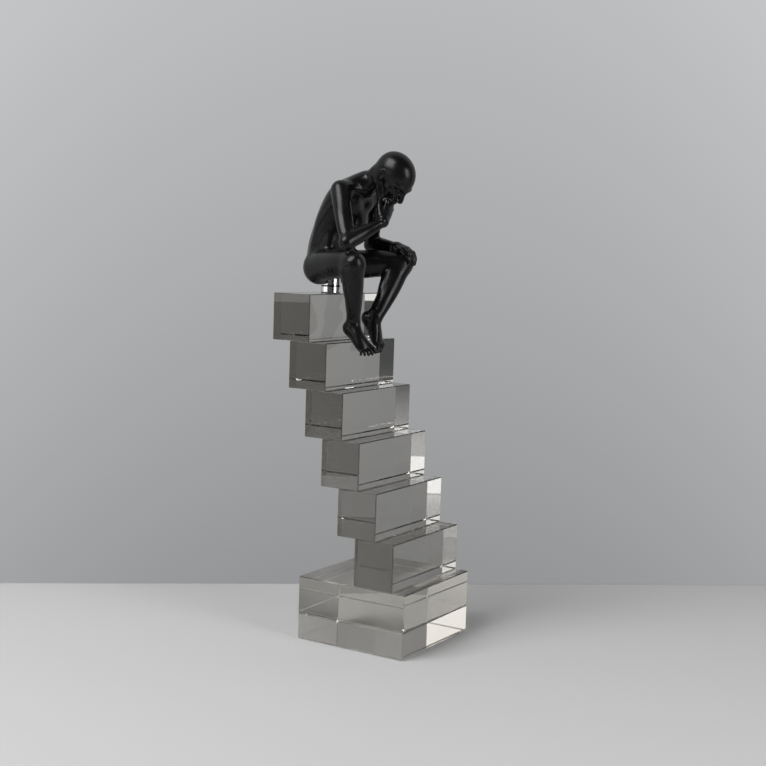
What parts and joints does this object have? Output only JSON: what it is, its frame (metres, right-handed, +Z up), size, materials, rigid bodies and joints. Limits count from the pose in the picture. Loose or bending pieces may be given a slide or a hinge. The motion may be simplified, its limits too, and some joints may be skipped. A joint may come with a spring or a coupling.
{
  "type": "seated figure ornament",
  "caption": "Pensive seated black figure on a chrome post, carried by a staircase of polished crystal blocks on a square crystal base.",
  "frame": {"origin": "centre of the base's underside", "axes": "+Z up, +X towards the foot of the stairs, which is also the way the figure faces, +Y to the figure's left"},
  "size_m": [0.1058, 0.0825, 0.3128],
  "materials": {
    "crystal": "polished optical crystal with a faint warm grey tint",
    "adhesive": "clear cured adhesive",
    "chrome": "mirror polished",
    "stud_steel": "plain steel",
    "insert_brass": "machined",
    "black_resin": "black cast resin, satin polish"
  },
  "bodies": {
    "root": {"base_lower_slab": "crystal", "base_upper_slab": "crystal", "step_block_1": "crystal", "step_block_2": "crystal", "step_block_3": "crystal", "step_block_4": "crystal", "step_block_5": "crystal", "step_block_6": "crystal", "base_bond_film": "adhesive", "step_bond_film_1": "adhesive", "step_bond_film_2": "adhesive", "step_bond_film_3": "adhesive", "step_bond_film_4": "adhesive", "step_bond_film_5": "adhesive", "step_bond_film_6": "adhesive", "post_bond_film": "adhesive", "post_flange": "chrome", "post_collar": "chrome", "post_stud": "stud_steel", "figure_insert": "insert_brass", "figure": "black_resin"}
  },
  "joints": []
}
